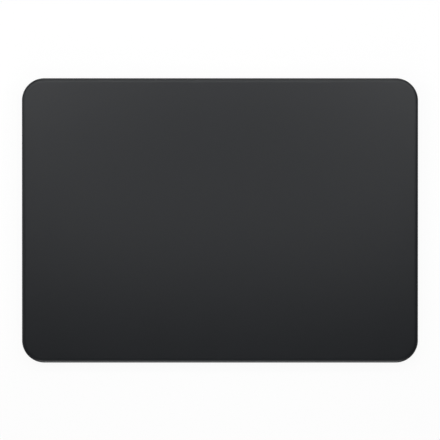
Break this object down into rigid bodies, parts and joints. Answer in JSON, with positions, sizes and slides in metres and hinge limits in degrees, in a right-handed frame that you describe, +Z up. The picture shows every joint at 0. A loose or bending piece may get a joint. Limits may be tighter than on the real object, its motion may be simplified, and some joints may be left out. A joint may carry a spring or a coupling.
{
  "type": "wireless desk trackpad",
  "caption": "Low wedge desk trackpad: a round-cornered matte glass touch plate floats over a thin metal case on force-sensing flexures, with a rear charging port and slide power switch.",
  "frame": {"origin": "on the desk, under the middle of the case", "axes": "+X to the user's right, +Y to the rear edge with the port and switch, +Z up"},
  "size_m": [0.16, 0.115, 0.0109],
  "materials": {
    "anodised_case": "fine bead-blasted black anodising",
    "touch_glass": "matte etched, opaque black from behind",
    "foot_rubber": "matt",
    "slider_plastic": "fine satin",
    "marker_paint": "satin",
    "black_plastic": "satin",
    "gold_plate": "bright plated",
    "steel": "bright stamped",
    "spring_steel": "rolled",
    "soft_iron": "plated",
    "gel": "soft satin",
    "adhesive_film": "satin",
    "circuit_board": "solder mask",
    "chip_resin": "moulded",
    "flat_lead": "film",
    "cell_pouch": "foil laminate",
    "connector_plastic": "moulded",
    "copper_wire": "enamelled"
  },
  "bodies": {
    "base": {"lower_case": "anodised_case", "foot_front_left": "foot_rubber", "foot_front_right": "foot_rubber", "foot_rear_left": "foot_rubber", "foot_rear_right": "foot_rubber", "flexure_front_left": "spring_steel", "flexure_front_right": "spring_steel", "flexure_rear_left": "spring_steel", "flexure_rear_right": "spring_steel", "strain_gauges": "flat_lead", "flexure_screws": "steel", "sensor_lead": "flat_lead", "battery_cell": "cell_pouch", "battery_tape": "adhesive_film", "battery_guard_board": "circuit_board", "battery_lead": "flat_lead", "logic_board": "circuit_board", "main_controller": "chip_resin", "power_controller": "chip_resin", "haptic_driver": "chip_resin", "radio_shield_can": "steel", "board_connectors": "connector_plastic", "board_screws": "steel", "port_board": "circuit_board", "port_lead": "flat_lead", "antenna_strip": "gold_plate", "port_clamp": "steel", "port_screws": "steel", "switch_body": "steel", "haptic_bracket": "steel", "haptic_core_left": "soft_iron", "haptic_core_right": "soft_iron", "haptic_coils": "copper_wire", "haptic_lead": "flat_lead", "haptic_screws": "steel", "charge_port_shell": "steel", "charge_port_tongue": "black_plastic", "charge_port_contacts": "gold_plate"},
    "suspension": {"gel_pad_front_left": "gel", "gel_pad_front_right": "gel", "gel_pad_rear_left": "gel", "gel_pad_rear_right": "gel"},
    "touch_plate": {"touch_glass": "touch_glass", "glass_adhesive": "adhesive_film", "touch_sensor_board": "circuit_board", "sensor_controller": "chip_resin", "stiffener_plate": "steel", "armature_bar": "soft_iron"},
    "power_slider": {"power_slider": "slider_plastic", "slider_marker": "marker_paint", "switch_nub": "black_plastic"}
  },
  "joints": [
    {"name": "touch_press", "type": "slide", "parent": "base", "child": "suspension", "axis": [0, 0.0521, -0.9986], "range_m": [0, 0.0002], "stiffness_N_per_m": 8000, "springref_m": -0.0003, "deforming": ["flexure_front_left", "flexure_front_right", "flexure_rear_left", "flexure_rear_right", "sensor_lead"]},
    {"name": "haptic_shift", "type": "slide", "parent": "suspension", "child": "touch_plate", "axis": [1, 0, 0], "range_m": [-0.0001, 0.0001], "stiffness_N_per_m": 20000, "deforming": ["gel_pad_front_left", "gel_pad_front_right", "gel_pad_rear_left", "gel_pad_rear_right"]},
    {"name": "power_slide", "type": "slide", "parent": "base", "child": "power_slider", "axis": [1, 0, 0], "range_m": [0, 0.0028]}
  ]
}
